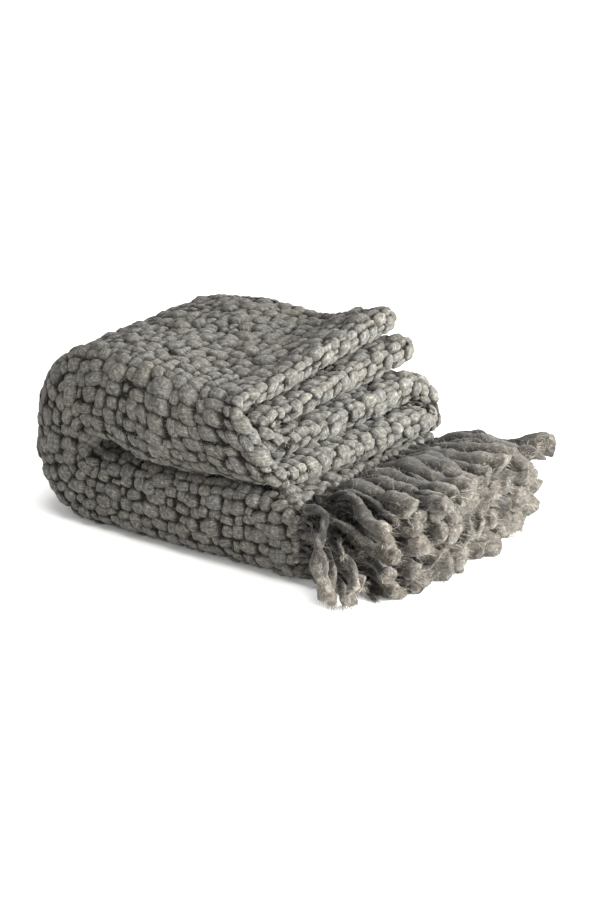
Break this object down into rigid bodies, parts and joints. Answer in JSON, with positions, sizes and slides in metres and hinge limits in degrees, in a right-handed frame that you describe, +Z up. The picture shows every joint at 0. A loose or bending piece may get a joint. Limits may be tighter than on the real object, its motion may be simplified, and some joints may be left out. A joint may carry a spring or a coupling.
{
  "type": "folded throw blanket",
  "caption": "Chunky grey hand-woven throw blanket with thick fringe at both ends, folded into a soft stack with its fringe fanned out on one side.",
  "frame": {"origin": "on the flat underside that rests on the surface, under the middle of the folded cloth's length and width, fringe left out", "axes": "+X from the big loop to the fringe, +Y from the folded spine to the loose edges, +Z up"},
  "size_m": [0.6238, 0.4788, 0.2728],
  "materials": {
    "woven_yarn": "matt thick-and-thin wool roving, loosely spun and felted, plain weave",
    "fringe_yarn": "matt loose wool roving, slightly hairy, cut ends"
  },
  "bodies": {
    "root": {"throw_cloth": "woven_yarn", "fringe_outer": "fringe_yarn", "fringe_inner": "fringe_yarn"}
  },
  "joints": []
}
